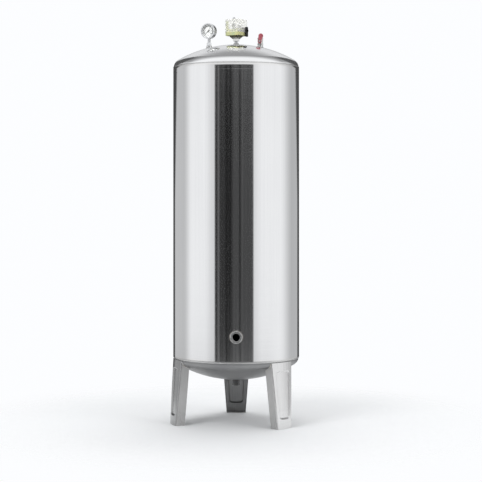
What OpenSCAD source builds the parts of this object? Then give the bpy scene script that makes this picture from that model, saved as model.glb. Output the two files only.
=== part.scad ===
// Stainless steel well pressure tank on three pressed legs, with a dial gauge,
// a pressure switch and a bleed valve on the crown. Air over water, no bladder.
// Millimetres, +Z up, floor at z = 0, tank axis on x = y = 0, main port at -Y.

/* [Tank] */
// Outside diameter of the cylindrical shell
shell_od = 400; // [340:5:440]
// Length of the cylindrical shell
shell_length = 918.5; // [700:0.5:1100]
// Sheet thickness of the shell
shell_wall = 1.5; // [1:0.1:3]
// Height of the shell's lower edge above the floor
shell_base_height = 207; // [195:1:240]
// Sheet thickness of the heads
head_wall = 2; // [1:0.1:3]
// Outside crown radius of the heads
crown_radius = 370; // [350:5:440]
// Outside knuckle radius of the heads
knuckle_radius = 25; // [24:1:40]
// Straight flange of each head inside the shell
head_flange = 18; // [10:1:30]
// Radius of the weld bead on each rim of the shell
seam_bead = 1.4; // [0.8:0.1:1.8]

/* [Legs] */
// Direction of the left leg, from the front towards the right
left_leg_azimuth = -72; // [-80:1:-60]
// Direction of the right leg, from the front towards the right
right_leg_azimuth = 46; // [40:1:60]
// Direction of the rear leg, from the front towards the right
rear_leg_azimuth = 180; // [170:1:190]
// Width of a leg at the top
leg_top_width = 94; // [84:1:104]
// Width of a leg at the floor
leg_foot_width = 63; // [56:1:76]
// How far a foot stands outside the shell
leg_splay = 12; // [6:1:20]
// Depth of the side walls of a leg
leg_depth = 33; // [28:1:40]
// Sheet thickness of the legs
leg_sheet = 2.5; // [2:0.1:3.5]
// Outside radius of the bends along a leg
leg_bend_radius = 5; // [4:0.5:7]
// Gap between a leg's top edge and the shell's lower edge
leg_top_gap = 3.5; // [1.6:0.1:4.5]
// Depth of the pressed panel in a leg
panel_depth = 4; // [2:0.5:5]
// Height of the panel's lower edge above the floor
panel_bottom = 34; // [26:1:50]
// Distance of the panel's upper edge below the leg's top edge
panel_top_border = 29.5; // [25.5:0.5:63.5]
// Width of the border beside the panel
panel_border = 15; // [14:0.5:19]
// Corner radius of the panel
panel_corner = 6; // [4:0.5:9]

/* [Ports] */
// Outside diameter of the main port
port_od = 37; // [32:0.5:44]
// Minor thread diameter of the main port
port_bore = 24.1; // [18:0.1:26]
// How far the main port stands out of the shell
port_stand_out = 16; // [10:1:30]
// Height of the main port's axis above the shell's lower edge
port_rise = 81; // [45:1:120]
// Outside diameter of the drain socket
drain_od = 26; // [24:0.5:32]
// Minor thread diameter of the drain socket
drain_bore = 18.6; // [15:0.1:20]
// How far the drain socket stands out of the lower head
drain_stand_out = 12; // [8:1:20]
// Width across flats of the drain plug
drain_plug_flats = 22; // [20.5:0.5:26]
// Height of the hexagon of the drain plug
drain_plug_height = 8; // [5:0.5:12]
// Outside diameter of the three sockets on the crown
socket_od = 17; // [16:0.5:22]
// Minor thread diameter of the three sockets on the crown
socket_bore = 11.45; // [10:0.05:12]
// How far the gauge's and the valve's socket stand out of the crown
socket_stand_out = 8; // [6:0.5:14]
// How far the switch's socket stands out of the crown
switch_socket_stand_out = 5; // [4:0.5:12]
// How far each socket reaches into the tank from the sheet's outer face
socket_reach_in = 7; // [6:0.5:9]
// Size of the weld fillet round a socket
socket_fillet = 2; // [1:0.5:4]
// Length of each male thread in its socket
thread_length = 9; // [6:0.5:11]
// Radial clearance of the threads
thread_clearance = 0.02; // [0.01:0.01:0.08]

/* [Gauge] */
// Distance of the gauge from the tank axis
gauge_offset = 86; // [76:1:110]
// Turn of the gauge about its stem
gauge_turn = -25; // [-45:1:45]
// Height of the dial's centre above the socket
gauge_centre_height = 46; // [42:1:60]
// Outside diameter of the gauge case
gauge_case_od = 47; // [47:1:63]
// Wall of the gauge case
gauge_case_wall = 0.8; // [0.6:0.1:1.2]
// Depth of the case behind the dial's centre plane
gauge_case_back = 10; // [9.5:0.5:18]
// Depth of the case in front of the dial's centre plane
gauge_case_front = 8; // [8:0.5:12]
// Thickness of the gauge lens
gauge_lens_thickness = 2; // [1:0.5:3]
// Thickness of the dial plate
gauge_dial_thickness = 0.8; // [0.5:0.1:1.2]
// Length of the pointer from its hub
gauge_pointer_length = 17; // [12:1:20]
// Length of the pointer's tail
gauge_tail_length = 7; // [4:0.5:9]
// Width across flats of the gauge stem
gauge_stem_flats = 14; // [13.5:0.5:17]
// Mean radius of the Bourdon tube
bourdon_radius = 18.5; // [17.5:0.5:21]
// Number of teeth of the pointer's pinion
pinion_teeth = 8; // [8:1:8]
// Number of teeth on the sector's full circle
sector_circle_teeth = 48; // [48:1:48]
// Tooth module of the gauge movement
gear_module = 0.35; // [0.33:0.01:0.36]

/* [Pressure switch] */
// Turn of the switch about the tank axis
switch_turn = -33; // [-60:1:60]
// Width of the switch cover
switch_width = 53; // [52:0.5:60]
// Depth of the switch cover
switch_depth = 52.5; // [52:0.5:60]
// Height of the switch cover above its base plate
switch_cover_height = 41.7; // [38:0.1:50]
// Wall of the switch cover
switch_cover_wall = 1.8; // [1.2:0.1:2.4]
// Radius of the cover's corners and top edges
switch_cover_radius = 5; // [3:0.5:8]
// Sheet thickness of the switch base and its lugs
switch_sheet = 1.5; // [1:0.1:2]
// Depth of the turned-down edge of the switch base
switch_skirt = 9; // [6:0.5:10]
// Visible length of the nipple under the switch
nipple_length = 7.4; // [6:0.1:20]
// Outside diameter of the nipple's neck
nipple_od = 9.7; // [9.5:0.1:12]
// Width across flats of the switch inlet
inlet_flats = 19; // [19:0.5:24]
// Height of the switch inlet's hexagon
inlet_height = 7; // [5:0.5:12]
// Height of the cone under the switch
housing_cone_height = 9.5; // [8:0.5:14]
// Diameter of the diaphragm flange
housing_flange_od = 47; // [46:0.5:47]
// Thickness of the diaphragm flange
housing_flange_height = 7.5; // [5:0.5:8.5]
// Thickness of the diaphragm
diaphragm_thickness = 1.5; // [1:0.1:2]
// Height of the rocker's underside above the base plate
rocker_height = 9; // [8:0.5:11]
// Thickness of the rocker plate
rocker_thickness = 2; // [1.5:0.1:2.5]
// Width of the rocker plate
rocker_width = 20; // [18:0.5:21]
// Distance of the rocker's pivot from the switch axis
pivot_distance = 19; // [18:0.5:20]
// Diameter of the rocker's pivot pin
pivot_pin_od = 3; // [2:0.2:3]
// Running clearance of pivots and shafts, radial
pivot_clearance = 0.05; // [0.03:0.01:0.08]
// Distance of the main stud from the switch axis
main_stud_distance = 8; // [7.8:0.1:9]
// Diameter of the main stud
main_stud_od = 5; // [4:0.5:5]
// Free height of the main spring
main_spring_height = 17; // [14:0.5:22]
// Distance of the differential stud from the switch axis
differential_stud_distance = 11; // [10.5:0.5:13]
// Diameter of the differential stud
differential_stud_od = 4; // [3:0.5:4]
// Free height of the differential spring
differential_spring_height = 10.6; // [8:0.1:14]
// Width of the cable grommet's pad
grommet_width = 12; // [11:0.5:14]
// Height of the cable grommet's pad
grommet_length = 31; // [28:0.5:34]
// How far the cable grommet stands out of the cover
grommet_stand_out = 6; // [5:0.5:10]

/* [Bleed valve] */
// Distance of the valve from the tank axis
valve_offset = 77; // [66:1:100]
// Turn of the valve about its inlet
valve_turn = -10; // [-45:1:45]
// Width across flats of the valve body
valve_flats = 16; // [15:0.5:18]
// Height of each hexagon on the valve
valve_hex_height = 5; // [4:0.5:7]
// Outside diameter of the ball chamber
valve_chamber_od = 16; // [15.5:0.5:18]
// Height of the ball chamber
valve_chamber_height = 13; // [12.5:0.5:16]
// Diameter of the ball
valve_ball_od = 9.8; // [9:0.2:10]
// Diameter of the water passage
valve_passage = 4; // [2.5:0.5:4]
// Length of the outlet nozzle
valve_nozzle_length = 8; // [6:0.5:14]
// Diameter of the valve stem
valve_stem_od = 5; // [4.5:0.5:5.5]
// Lean of the lever from the upright as the valve stands
lever_lean = 12; // [0:1:40]
// Length of the lever from the stem's axis
lever_length = 25; // [20:1:40]
// Width of the lever at its end
lever_end_width = 15; // [11:0.5:18]
// Sheet thickness of the lever with its coating
lever_thickness = 2.2; // [1.5:0.1:3]

/* [Hidden] */
$fn = 96;

// A length past any face that a cut has to clear
through = 1;
// Thickness of the slices that a leg is lofted between
slice = 0.01;
// Facets of the large arcs in a lofted leg
leg_facets = 96;
// Facets of small rounded corners in lofted shapes
corner_facets = 32;
// Sideways run of the panel's walls for each millimetre of depth
panel_draft = 1.4;
// How far the panel's block reaches behind its floor
panel_sink = 2.5;

// Tank levels
shell_radius = shell_od / 2;
head_radius = shell_radius - shell_wall;
shell_top = shell_base_height + shell_length;
knuckle_centre = head_radius - knuckle_radius;
crown_drop = sqrt(pow(crown_radius - knuckle_radius, 2) - pow(knuckle_centre, 2));
head_depth = crown_radius - crown_drop;
crown_top = shell_top + head_depth;
keel_bottom = shell_base_height - head_depth;
port_height = shell_base_height + port_rise;

// Height of the upper head's outer face at a distance from the axis
function crown_height(distance) =
    shell_top - crown_drop + sqrt(pow(crown_radius, 2) - pow(distance, 2));

// Legs
leg_height = shell_base_height - leg_top_gap;
leg_foot_radius = shell_radius + leg_splay;
panel_top = leg_height - panel_top_border;
function leg_share(z) = z / leg_height;
function leg_radius(z) = leg_foot_radius - leg_splay * leg_share(z);
function leg_width(z) = leg_foot_width + (leg_top_width - leg_foot_width) * leg_share(z);

// Threads and sockets
thread_radius = socket_bore / 2 - thread_clearance;
gauge_seat = crown_height(gauge_offset) + socket_stand_out;
valve_seat = crown_height(valve_offset) + socket_stand_out;
switch_seat = crown_top + switch_socket_stand_out;

// Gauge, seen from the front: z towards the viewer, y up
gauge_case_radius = gauge_case_od / 2;
gauge_inner_radius = gauge_case_radius - gauge_case_wall;
bezel_overhang = 1;
bezel_lip = 2.5;
bezel_lip_thickness = 1.5;
stem_neck_radius = 4.5;
stem_neck_gap = 0.1;
bezel_skirt = gauge_case_front - stem_neck_radius - 2 * stem_neck_gap;
stem_hex_height = 9;
stem_bore = 3;
block_width = 9;
block_back = -5.5;
block_front = 0.8;
block_top = -12;
dial_back = stem_neck_radius + stem_neck_gap;
dial_front = dial_back + gauge_dial_thickness;
pointer_gap = 1.2;
pointer_thickness = 0.5;
pointer_hub_radius = 2;
pointer_zero = 225;
arbor_radius = 0.6;
plate_thickness = 1;
plate_half_width = 8;
plate_top = 7;
plate_bottom = -16;
pillar_radius = 1.2;
pinion_radius = gear_module * pinion_teeth / 2;
sector_radius = gear_module * sector_circle_teeth / 2;
gear_backlash = 0.15;
sector_distance = pinion_radius + sector_radius + gear_backlash;
sector_thickness = 1;
sector_back = -3.6;
pinion_face = 2;
sector_first_tooth = -1;
sector_last_tooth = 6;
bourdon_width = 6;
bourdon_thickness = 2;
bourdon_sweep = 285;

// Pressure switch, heights above the socket's top face
inlet_bottom = nipple_length;
cone_bottom = inlet_bottom + inlet_height;
flange_bottom = cone_bottom + housing_cone_height;
diaphragm_bottom = flange_bottom + housing_flange_height;
deck_bottom = diaphragm_bottom + diaphragm_thickness;
deck_top = deck_bottom + switch_sheet;
cover_top = deck_top + switch_cover_height;
rocker_bottom = deck_top + rocker_height;
rocker_top = rocker_bottom + rocker_thickness;
pivot_radius = pivot_pin_od / 2;
pivot_height = rocker_bottom - pivot_radius - 0.1;
deck_inset = 0.8;
inlet_bore_radius = 4.2;
cone_bottom_radius = 12;
cone_top_radius = housing_flange_od / 2 - 0.5;
chamber_radius = 16;
chamber_height = 4;
flange_screw_circle = housing_flange_od / 2 - 4;
flange_screw_radius = 1.5;
flange_screw_head = 2.6;
flange_screw_head_height = 2;
screw_pocket_radius = flange_screw_head + 0.3;
plunger_radius = 4.5;
plunger_clearance = 0.3;
plunger_dome = 8;
plunger_gap = 0.05;
lug_radius = 3;
lug_gap = 0.4;
ear_length = 8;
main_stud_radius = main_stud_od / 2;
differential_stud_radius = differential_stud_od / 2;
stud_swing = 1.1;
stud_collar = 0.5;
stud_collar_height = 1.2;
main_wire = 0.8;
main_coil_radius = 5.5;
main_turns = 5;
differential_wire = 0.6;
differential_coil_radius = 4.2;
differential_turns = 4;
washer_height = 1.2;
spring_nut_height = 4;
main_nut_flats = 9;
differential_nut_flats = 7;
block_y = 13.5;
block_depth = 9.5;
block_x = -14;
block_length = 36;
contact_block_height = 14;
terminal_pitch = 9;
terminal_radius = 2;
contact_radius = 1.5;
contact_strip_width = 4;
contact_strip_thickness = 0.8;
contact_positions = [3.5, 16];
contact_strip_start = 4.8;
contact_reach = block_y - rocker_width / 2 - 0.6;
upright_width = 14;
upright_gap = 0.5;
upright_side_gap = 3;
upright_height = 36;
deck_lip_height = 4.5;
grommet_y = 17;
grommet_neck = 4;
grommet_inner = 5;
grommet_pad_thickness = 4;
grommet_corner = 3;
grommet_drop = 13;
grommet_height = deck_top + grommet_inner + 1;
cover_nut_flats = 9;
cover_nut_hex = 4;

// Bleed valve, heights above the socket's top face
chamber_bottom = valve_hex_height;
chamber_top = chamber_bottom + valve_chamber_height;
valve_bore_radius = 6.2;
spigot_height = 1.5;
valve_centre = (chamber_bottom + chamber_top - spigot_height) / 2;
valve_ball_radius = valve_ball_od / 2;
seat_height = 2.6;
seat_clearance = 0.3;
valve_stem_radius = valve_stem_od / 2;
boss_radius = 4.5;
boss_end = valve_chamber_od / 2 + 2.5;
packing_nut_flats = 9;
packing_nut_height = 2.5;
lever_back = boss_end + packing_nut_height + 0.2;
lever_front = lever_back + lever_thickness;
stem_end_radius = 2;
stem_tang = 1.6;
tang_depth = 1.7;
lever_nut_flats = 7;
lever_nut_height = 2.5;
lever_hub_radius = 6.5;
lever_neck_width = 9;

// Plane figures

module rounded_rectangle(width, depth, radius) {
    square([width - 2 * radius, depth], center = true);
    square([width, depth - 2 * radius], center = true);
    for (x = [-1, 1])
        for (y = [-1, 1])
            translate([x * (width / 2 - radius), y * (depth / 2 - radius)])
                circle(r = radius);
}

// A prism with six sides, upright on z = 0
module hexagon(flats, height) {
    cylinder(d = flats / cos(30), h = height, $fn = 6);
}

// Half section of a dished head above its tangent line, pulled in by inset
module head_section(inset, flange) {
    reach = 2 * crown_radius;
    ray_x = reach * knuckle_centre / (crown_radius - knuckle_radius);
    ray_y = reach * crown_drop / (crown_radius - knuckle_radius) - crown_drop;
    intersection() {
        translate([0, -crown_drop])
            circle(r = crown_radius - inset, $fn = 360);
        polygon([[0, 0], [knuckle_centre, 0], [ray_x, ray_y], [0, ray_y]]);
    }
    intersection() {
        translate([knuckle_centre, 0])
            circle(r = knuckle_radius - inset, $fn = 180);
        polygon([[knuckle_centre, 0], [reach, 0], [reach, ray_y], [ray_x, ray_y]]);
    }
    translate([0, -flange])
        square([head_radius - inset, flange]);
}

// The room that a head takes up, as a solid
module head_solid(flange) {
    rotate_extrude($fn = 180)
        head_section(0, flange);
}

module dished_head() {
    rotate_extrude($fn = 180)
        difference() {
            head_section(0, head_flange);
            head_section(head_wall, head_flange + through);
        }
}

// A welded socket along +Z: its outer end is at z = 0 and it reaches back
module half_coupling(od, bore, length) {
    chamfer = 1;
    difference() {
        rotate_extrude()
            polygon([
                [0, -length],
                [od / 2, -length],
                [od / 2, -chamfer],
                [od / 2 - chamfer, 0],
                [0, 0]
            ]);
        translate([0, 0, -length - through])
            cylinder(d = bore, h = length + 2 * through);
        translate([0, 0, -chamfer])
            cylinder(d1 = bore, d2 = bore + 2 * (chamfer + through), h = chamfer + through);
    }
}

// A ring of weld metal round a socket: base is how far the sheet lies below z = 0
module weld_fillet(od, bore, base) {
    sink = 3;
    translate([0, 0, -base - sink])
        difference() {
            cylinder(r1 = od / 2 + socket_fillet + sink, r2 = od / 2, h = socket_fillet + sink);
            translate([0, 0, -through])
                cylinder(d = (od + bore) / 2, h = socket_fillet + sink + 2 * through);
        }
}

// The same ring on the axis of a head, whose tangent line is rise below z = 0
module crown_fillet(od, bore, stand_out, rise) {
    rotate_extrude()
        difference() {
            polygon([
                [(od + bore) / 4, -stand_out],
                [od / 2 + socket_fillet + 1, -stand_out - 1],
                [od / 2, -stand_out + socket_fillet],
                [(od + bore) / 4, -stand_out + socket_fillet]
            ]);
            translate([0, -rise])
                head_section(0, head_flange);
        }
}

// Tank sheet metal

module shell_rim_bead() {
    rotate_extrude($fn = 180)
        translate([head_radius, 0])
            intersection() {
                circle(r = seam_bead, $fn = 32);
                square(seam_bead);
            }
}

module cylinder_shell() {
    color("silver")
        difference() {
            union() {
                translate([0, 0, shell_base_height])
                    rotate_extrude($fn = 180)
                        translate([head_radius, 0])
                            square([shell_wall, shell_length]);
                translate([0, 0, shell_top])
                    shell_rim_bead();
                translate([0, 0, shell_base_height])
                    mirror([0, 0, 1])
                        shell_rim_bead();
            }
            translate([0, 0, port_height])
                rotate([90, 0, 0])
                    cylinder(d = port_od, h = shell_od);
        }
}

module top_head() {
    color("silver")
        difference() {
            translate([0, 0, shell_top])
                dished_head();
            for (x = [-gauge_offset, 0, valve_offset])
                translate([x, 0, shell_top])
                    cylinder(d = socket_od, h = head_depth + through);
        }
}

module bottom_head() {
    color("silver")
        difference() {
            translate([0, 0, shell_base_height])
                mirror([0, 0, 1])
                    dished_head();
            translate([0, 0, keel_bottom - through])
                cylinder(d = drain_od, h = head_depth);
        }
}

// Legs, drawn at the front and then turned into place

// Plan of a leg at one height, as convex pieces for a loft
module leg_plan(z, inset, depth) {
    radius = leg_radius(z) - inset;
    width = leg_width(z) - 2 * inset;
    bend = leg_bend_radius - inset;
    straight = width / 2 - bend;
    for (side = [-1, 1])
        translate([side * straight, -sqrt(pow(radius - bend, 2) - pow(straight, 2))])
            circle(r = bend, $fn = corner_facets);
    intersection() {
        circle(r = radius, $fn = leg_facets);
        translate([-straight, -radius])
            square([2 * straight, depth]);
    }
    translate([-width / 2, -radius + depth - slice])
        square([width, slice]);
}

// A leg as a full block, pulled in by inset
module leg_block(bottom, top, inset, depth) {
    hull() {
        translate([0, 0, bottom])
            linear_extrude(slice)
                leg_plan(bottom, inset, depth);
        translate([0, 0, top - slice])
            linear_extrude(slice)
                leg_plan(top, inset, depth);
    }
}

// The corners of the pressed panel at one level of its walls, grown by grow
module panel_corners(level, grow) {
    for (z = [panel_bottom + panel_corner, panel_top - panel_corner])
        for (side = [-1, 1])
            translate([side * (leg_width(z) / 2 - panel_border - panel_corner), z, level])
                cylinder(r = panel_corner + grow, h = slice, $fn = corner_facets);
}

// The panel as a block that widens outwards, its walls moved out by inset
module panel_bar(inset) {
    grow = inset * sqrt(1 + pow(panel_draft, 2));
    sunk = panel_sink + inset;
    proud = 2 * panel_depth;
    translate([0, panel_depth - leg_foot_radius, 0])
        rotate([90 - atan(leg_splay / leg_height), 0, 0])
            hull() {
                panel_corners(-sunk, grow - sunk * panel_draft);
                panel_corners(proud, grow + proud * panel_draft);
            }
}

// What the press pushes out of a face that lies inset behind the leg's face
module panel_hollow(inset) {
    difference() {
        panel_bar(inset);
        cylinder(
            r1 = leg_foot_radius - panel_depth - inset,
            r2 = shell_radius - panel_depth - inset,
            h = leg_height
        );
    }
}

module leg(azimuth) {
    color("lightgray")
        difference() {
            rotate([0, 0, azimuth])
                difference() {
                    leg_block(0, leg_height, 0, leg_depth);
                    panel_hollow(0);
                    difference() {
                        leg_block(leg_sheet, leg_height + through, leg_sheet, leg_depth + through);
                        panel_hollow(leg_sheet);
                    }
                }
            translate([0, 0, shell_base_height])
                mirror([0, 0, 1])
                    head_solid(head_flange);
        }
}

module leg_left() {
    leg(left_leg_azimuth);
}

module leg_right() {
    leg(right_leg_azimuth);
}

module leg_rear() {
    leg(rear_leg_azimuth);
}

// Sockets

module front_port() {
    color("silver") {
        translate([0, -shell_radius - port_stand_out, port_height])
            rotate([90, 0, 0])
                half_coupling(port_od, port_bore, port_stand_out + socket_reach_in);
        difference() {
            translate([0, -shell_radius - port_stand_out, port_height])
                rotate([90, 0, 0])
                    weld_fillet(port_od, port_bore, port_stand_out);
            cylinder(r = shell_radius, h = shell_top, $fn = 180);
        }
    }
}

module drain_socket() {
    color("silver")
        translate([0, 0, keel_bottom - drain_stand_out])
            mirror([0, 0, 1]) {
                half_coupling(drain_od, drain_bore, drain_stand_out + socket_reach_in);
                crown_fillet(drain_od, drain_bore, drain_stand_out, head_depth + drain_stand_out);
            }
}

module drain_plug() {
    color("darkgray")
        translate([0, 0, keel_bottom - drain_stand_out]) {
            translate([0, 0, -drain_plug_height])
                hexagon(drain_plug_flats, drain_plug_height);
            cylinder(d = drain_bore - 2 * thread_clearance, h = thread_length);
        }
}

// A socket beside the crown's middle at x, standing out by stand_out
module crown_socket(x, stand_out) {
    color("silver") {
        translate([x, 0, crown_height(x) + stand_out])
            half_coupling(socket_od, socket_bore, stand_out + socket_reach_in);
        difference() {
            translate([x, 0, crown_height(x) + stand_out])
                weld_fillet(socket_od, socket_bore, stand_out);
            translate([0, 0, shell_top])
                head_solid(head_flange);
        }
    }
}

module gauge_socket() {
    crown_socket(-gauge_offset, socket_stand_out);
}

module switch_socket() {
    color("silver")
        translate([0, 0, switch_seat]) {
            half_coupling(socket_od, socket_bore, switch_socket_stand_out + socket_reach_in);
            crown_fillet(
                socket_od, socket_bore,
                switch_socket_stand_out, head_depth + switch_socket_stand_out
            );
        }
}

module valve_socket() {
    crown_socket(valve_offset, socket_stand_out);
}

// Gauge

module at_gauge() {
    translate([-gauge_offset, 0, gauge_seat])
        rotate([0, 0, gauge_turn])
            children();
}

// The dial's own frame: z towards the viewer, y up
module at_dial() {
    at_gauge()
        translate([0, 0, gauge_centre_height])
            rotate([90, 0, 0])
                children();
}

module gauge_stem() {
    color("goldenrod")
        difference() {
            union() {
                at_gauge() {
                    translate([0, 0, -thread_length])
                        cylinder(r = thread_radius, h = thread_length);
                    hexagon(gauge_stem_flats, stem_hex_height);
                    translate([0, 0, stem_hex_height])
                        cylinder(
                            r = stem_neck_radius,
                            h = gauge_centre_height - gauge_inner_radius + through - stem_hex_height
                        );
                }
                at_dial()
                    translate([-block_width / 2, -gauge_inner_radius + through, block_back])
                        cube([
                            block_width,
                            gauge_inner_radius - through + block_top,
                            block_front - block_back
                        ]);
            }
            at_gauge()
                translate([0, 0, -thread_length - through])
                    cylinder(d = stem_bore, h = gauge_centre_height - gauge_inner_radius + thread_length);
        }
}

// Half section of the gauge case's block, pulled in by inset
module case_section(inset) {
    corner = 3;
    top = gauge_case_front + inset;
    straight = gauge_case_radius - corner;
    translate([0, inset - gauge_case_back])
        square([straight, gauge_case_back - inset + top]);
    translate([0, corner - gauge_case_back])
        square([gauge_case_radius - inset, gauge_case_back - corner + top]);
    translate([straight, corner - gauge_case_back])
        circle(r = corner - inset);
}

module gauge_case() {
    color("gainsboro")
        difference() {
            at_dial()
                rotate_extrude()
                    difference() {
                        case_section(0);
                        case_section(gauge_case_wall);
                    }
            at_gauge()
                cylinder(r = stem_neck_radius, h = gauge_centre_height);
        }
}

module gauge_bezel() {
    color("gainsboro")
        at_dial()
            rotate_extrude()
                difference() {
                    translate([0, gauge_case_front - bezel_skirt])
                        square([
                            gauge_case_radius + bezel_overhang,
                            bezel_skirt + gauge_lens_thickness + bezel_lip_thickness
                        ]);
                    translate([0, gauge_case_front - bezel_skirt - through])
                        square([
                            gauge_case_radius,
                            bezel_skirt + through + gauge_lens_thickness
                        ]);
                    square([
                        gauge_case_radius - bezel_lip,
                        gauge_case_back + gauge_case_front
                    ]);
                }
}

module gauge_lens() {
    color("white", 0.3)
        at_dial()
            translate([0, 0, gauge_case_front])
                cylinder(r = gauge_case_radius, h = gauge_lens_thickness);
}

module gauge_dial() {
    color("white")
        at_dial() {
            difference() {
                translate([0, 0, dial_back])
                    cylinder(r = gauge_inner_radius, h = gauge_dial_thickness);
                translate([0, 0, dial_back - through])
                    cylinder(r = arbor_radius + 0.4, h = gauge_dial_thickness + 2 * through);
            }
            rotate([0, 0, pointer_zero + 6])
                translate([gauge_pointer_length - 4, 0, dial_front])
                    cylinder(r = 0.5, h = pointer_gap + 2 * pointer_thickness);
        }
}

module gauge_pointer() {
    color("black")
        at_dial()
            translate([0, 0, dial_front + pointer_gap])
                difference() {
                    union() {
                        cylinder(r = pointer_hub_radius, h = pointer_thickness);
                        rotate([0, 0, pointer_zero])
                            linear_extrude(pointer_thickness)
                                polygon([
                                    [-gauge_tail_length, -1.2],
                                    [0, -0.7],
                                    [gauge_pointer_length, -0.15],
                                    [gauge_pointer_length, 0.15],
                                    [0, 0.7],
                                    [-gauge_tail_length, 1.2]
                                ]);
                    }
                    translate([0, 0, -through])
                        cylinder(r = arbor_radius, h = 2 * through + pointer_thickness);
                }
}

// A spur wheel whose teeth from first to last are cut, as a plane figure
module tooth_ring(radius, circle_teeth, first, last) {
    pitch = 360 / circle_teeth;
    difference() {
        circle(r = radius + 0.8 * gear_module);
        circle(r = radius - 1.1 * gear_module);
        for (i = [first - 1 : last])
            rotate([0, 0, (i + 0.5) * pitch])
                polygon([
                    [radius - 1.1 * gear_module - 0.001, -0.5 * gear_module],
                    [radius + 2 * gear_module, -1.8 * gear_module],
                    [radius + 2 * gear_module, 1.8 * gear_module],
                    [radius - 1.1 * gear_module - 0.001, 0.5 * gear_module]
                ]);
    }
}

module gauge_pinion() {
    color("goldenrod")
        at_dial() {
            translate([0, 0, block_back - plate_thickness])
                cylinder(
                    r = arbor_radius,
                    h = dial_front + pointer_gap + pointer_thickness - block_back + plate_thickness
                );
            translate([0, 0, sector_back + sector_thickness / 2 - pinion_face / 2])
                linear_extrude(pinion_face) {
                    circle(r = pinion_radius - 1.1 * gear_module);
                    rotate([0, 0, 90 + 180 / pinion_teeth])
                        tooth_ring(pinion_radius, pinion_teeth, 0, pinion_teeth - 1);
                }
        }
}

module gauge_sector() {
    pitch = 360 / sector_circle_teeth;
    tail_length = 6.5;
    tail_angle = 150;
    rim = 1.4;
    color("goldenrod")
        at_dial()
            translate([0, -sector_distance, 0])
                difference() {
                    union() {
                        translate([0, 0, sector_back])
                            linear_extrude(sector_thickness) {
                                rotate([0, 0, 90])
                                    intersection() {
                                        union() {
                                            tooth_ring(
                                                sector_radius, sector_circle_teeth,
                                                -sector_last_tooth, -sector_first_tooth
                                            );
                                            difference() {
                                                circle(r = sector_radius - 1.1 * gear_module);
                                                circle(r = sector_radius - 1.1 * gear_module - rim);
                                            }
                                        }
                                        polygon([
                                            [0, 0],
                                            2 * sector_radius * [cos(pitch), sin(pitch)],
                                            2 * sector_radius * [1, -0.5],
                                            2 * sector_radius * [
                                                cos((sector_last_tooth + 1) * pitch),
                                                -sin((sector_last_tooth + 1) * pitch)
                                            ]
                                        ]);
                                    }
                                for (i = [0, 1])
                                    rotate([0, 0, 90 - i * sector_last_tooth * pitch])
                                        translate([0, -0.6])
                                            square([sector_radius - 1.1 * gear_module - rim / 2, 1.2]);
                                rotate([0, 0, tail_angle])
                                    translate([0, -0.8])
                                        square([tail_length, 1.6]);
                            }
                        translate([0, 0, block_back])
                            cylinder(r = 1.6, h = block_front - block_back);
                    }
                    translate([0, 0, block_back - through])
                        cylinder(
                            r = arbor_radius + pivot_clearance,
                            h = block_front - block_back + 2 * through
                        );
                }
}

module gauge_movement_frame() {
    color("goldenrod")
        at_dial() {
            for (back = [block_back - plate_thickness, block_front])
                difference() {
                    translate([-plate_half_width, plate_bottom, back])
                        cube([2 * plate_half_width, plate_top - plate_bottom, plate_thickness]);
                    translate([0, 0, back - through])
                        cylinder(
                            r = arbor_radius + pivot_clearance,
                            h = plate_thickness + 2 * through
                        );
                }
            for (x = [-1, 1])
                translate([
                    x * (plate_half_width - pillar_radius),
                    plate_top - pillar_radius,
                    block_back
                ])
                    cylinder(r = pillar_radius, h = block_front - block_back);
            translate([0, -sector_distance, block_back])
                cylinder(r = arbor_radius, h = block_front - block_back);
        }
}

module gauge_bourdon_tube() {
    middle = (block_back + block_front) / 2 - plate_thickness;
    color("goldenrod")
        at_dial() {
            difference() {
                rotate([0, 0, -90])
                    rotate_extrude(angle = bourdon_sweep)
                        translate([bourdon_radius, middle])
                            rounded_rectangle(bourdon_thickness, bourdon_width, bourdon_thickness / 2.5);
                translate([-block_width / 2, -gauge_case_radius, block_back])
                    cube([
                        block_width,
                        gauge_case_radius + block_top,
                        block_front - block_back
                    ]);
            }
        }
}

// Pressure switch

module at_switch() {
    translate([0, 0, switch_seat])
        rotate([0, 0, switch_turn])
            children();
}

module switch_nipple() {
    collar_radius = socket_bore / 2 + 1.6;
    collar_height = 2;
    color("darkgray")
        at_switch()
            difference() {
                union() {
                    translate([0, 0, -thread_length])
                        cylinder(r = thread_radius, h = thread_length);
                    cylinder(r = collar_radius, h = collar_height);
                    cylinder(d = nipple_od, h = inlet_bottom);
                    translate([0, 0, inlet_bottom])
                        cylinder(r = inlet_bore_radius - thread_clearance, h = inlet_height);
                }
                translate([0, 0, -thread_length - through])
                    cylinder(d = stem_bore, h = thread_length + inlet_bottom + inlet_height + 2 * through);
            }
}

// The four screws of the diaphragm flange
module at_flange_screws() {
    for (turn = [45 : 90 : 315])
        rotate([0, 0, turn])
            translate([flange_screw_circle, 0, 0])
                children();
}

module switch_housing() {
    color("dimgray")
        at_switch()
            difference() {
                union() {
                    translate([0, 0, inlet_bottom])
                        hexagon(inlet_flats, inlet_height);
                    translate([0, 0, cone_bottom])
                        cylinder(r1 = cone_bottom_radius, r2 = cone_top_radius, h = housing_cone_height);
                    translate([0, 0, flange_bottom])
                        cylinder(d = housing_flange_od, h = housing_flange_height);
                }
                translate([0, 0, inlet_bottom - through])
                    cylinder(r = inlet_bore_radius, h = diaphragm_bottom);
                translate([0, 0, diaphragm_bottom - chamber_height])
                    cylinder(r = chamber_radius, h = chamber_height + through);
                at_flange_screws() {
                    translate([0, 0, flange_bottom - through])
                        cylinder(
                            r = flange_screw_radius + thread_clearance,
                            h = housing_flange_height + 2 * through
                        );
                    translate([0, 0, cone_bottom])
                        cylinder(r = screw_pocket_radius, h = housing_cone_height);
                }
            }
}

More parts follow.
